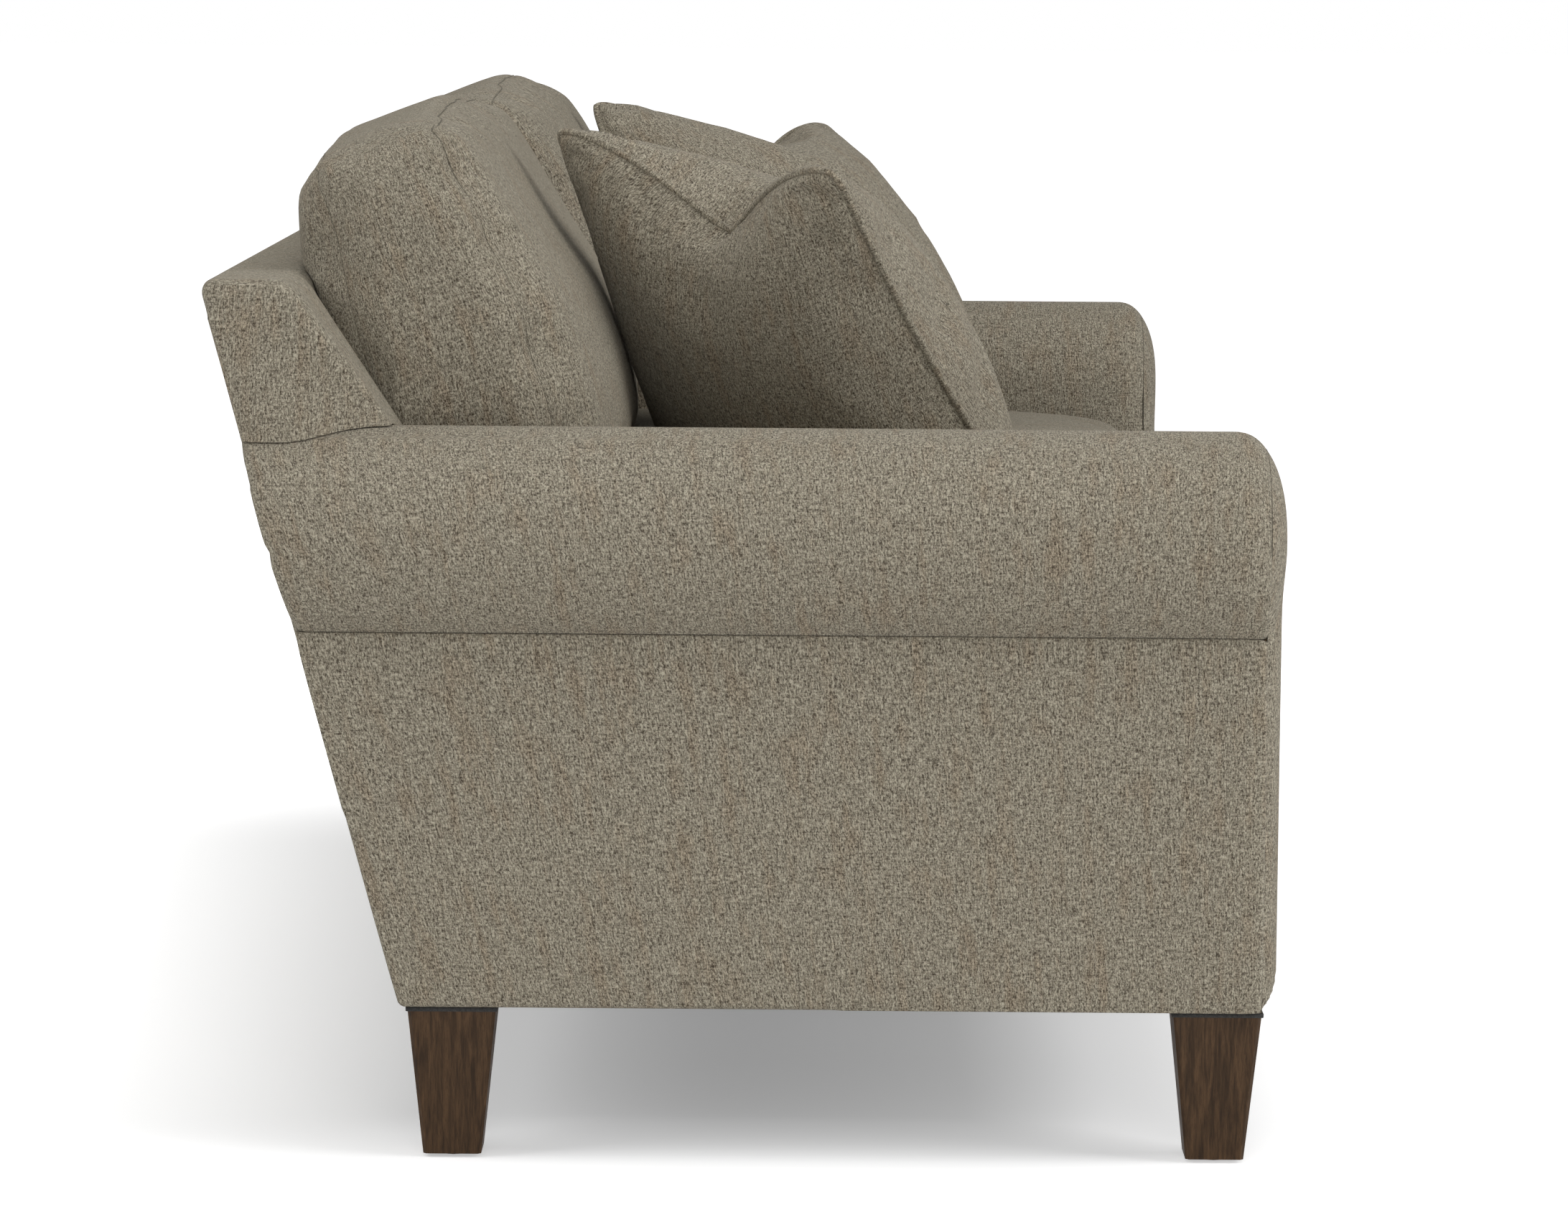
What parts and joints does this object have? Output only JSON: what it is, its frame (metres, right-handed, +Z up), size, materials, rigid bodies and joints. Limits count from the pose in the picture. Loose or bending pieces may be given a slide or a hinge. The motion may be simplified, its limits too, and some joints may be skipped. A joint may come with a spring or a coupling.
{
  "type": "roll arm sofa",
  "caption": "Upholstered sofa with low round arms, a raked back, loose seat and back cushions, throw pillows and tapered wooden legs.",
  "frame": {"origin": "on the floor, at the middle of the sofa's length and depth", "axes": "+X along the sofa's length, +Z up, the seat faces -Y"},
  "size_m": [2.13, 0.9395, 0.9172],
  "materials": {
    "upholstery": "matte",
    "lining": "matte",
    "frame_wood": "matte",
    "leg_wood": "satin",
    "steel": "satin",
    "glide": "matte"
  },
  "bodies": {
    "frame": {"outside_back": "upholstery", "inside_back": "upholstery", "front_border": "upholstery", "outside_arm_left": "upholstery", "outside_arm_right": "upholstery", "inside_arm_left": "upholstery", "inside_arm_right": "upholstery", "arm_roll_left": "upholstery", "arm_roll_right": "upholstery", "arm_facing_left": "upholstery", "arm_facing_right": "upholstery", "back_wing_left": "upholstery", "back_wing_right": "upholstery", "seat_deck": "lining", "dust_cover": "lining", "front_rail": "frame_wood", "rear_rail": "frame_wood", "centre_stretcher": "frame_wood", "back_top_rail": "frame_wood", "back_lower_rail": "frame_wood", "back_centre_post": "frame_wood", "arm_stump_left": "frame_wood", "arm_stump_right": "frame_wood", "arm_board_left": "frame_wood", "arm_board_right": "frame_wood", "side_rail_left": "frame_wood", "side_rail_right": "frame_wood", "back_post_left": "frame_wood", "back_post_right": "frame_wood", "corner_block_front_left": "frame_wood", "corner_block_rear_left": "frame_wood", "corner_block_front_right": "frame_wood", "corner_block_rear_right": "frame_wood", "seat_spring_left_1": "steel", "seat_spring_left_2": "steel", "seat_spring_left_3": "steel", "seat_spring_left_4": "steel", "seat_spring_right_1": "steel", "seat_spring_right_2": "steel", "seat_spring_right_3": "steel", "seat_spring_right_4": "steel", "hanger_bolt_front_left": "steel", "hanger_bolt_rear_left": "steel", "hanger_bolt_front_right": "steel", "hanger_bolt_rear_right": "steel", "leg_front_left": "leg_wood", "leg_rear_left": "leg_wood", "leg_front_right": "leg_wood", "leg_rear_right": "leg_wood", "glide_front_left": "glide", "glide_rear_left": "glide", "glide_front_right": "glide", "glide_rear_right": "glide"},
    "seat_cushion_left": {"seat_cushion_left": "upholstery"},
    "back_cushion_left": {"back_cushion_left": "upholstery"},
    "throw_pillow_left": {"throw_pillow_left": "upholstery"},
    "seat_cushion_right": {"seat_cushion_right": "upholstery"},
    "back_cushion_right": {"back_cushion_right": "upholstery"},
    "throw_pillow_right": {"throw_pillow_right": "upholstery"}
  },
  "joints": [
    {"name": "seat_cushion_left_lift", "type": "slide", "parent": "frame", "child": "seat_cushion_left", "axis": [0, 0, 1], "range_m": [0, 0.25]},
    {"name": "back_cushion_left_lift", "type": "slide", "parent": "seat_cushion_left", "child": "back_cushion_left", "axis": [0, 0, 1], "range_m": [0, 0.25]},
    {"name": "throw_pillow_left_lift", "type": "slide", "parent": "back_cushion_left", "child": "throw_pillow_left", "axis": [0, 0, 1], "range_m": [0, 0.25]},
    {"name": "seat_cushion_right_lift", "type": "slide", "parent": "frame", "child": "seat_cushion_right", "axis": [0, 0, 1], "range_m": [0, 0.25]},
    {"name": "back_cushion_right_lift", "type": "slide", "parent": "seat_cushion_right", "child": "back_cushion_right", "axis": [0, 0, 1], "range_m": [0, 0.25]},
    {"name": "throw_pillow_right_lift", "type": "slide", "parent": "back_cushion_right", "child": "throw_pillow_right", "axis": [0, 0, 1], "range_m": [0, 0.25]}
  ]
}
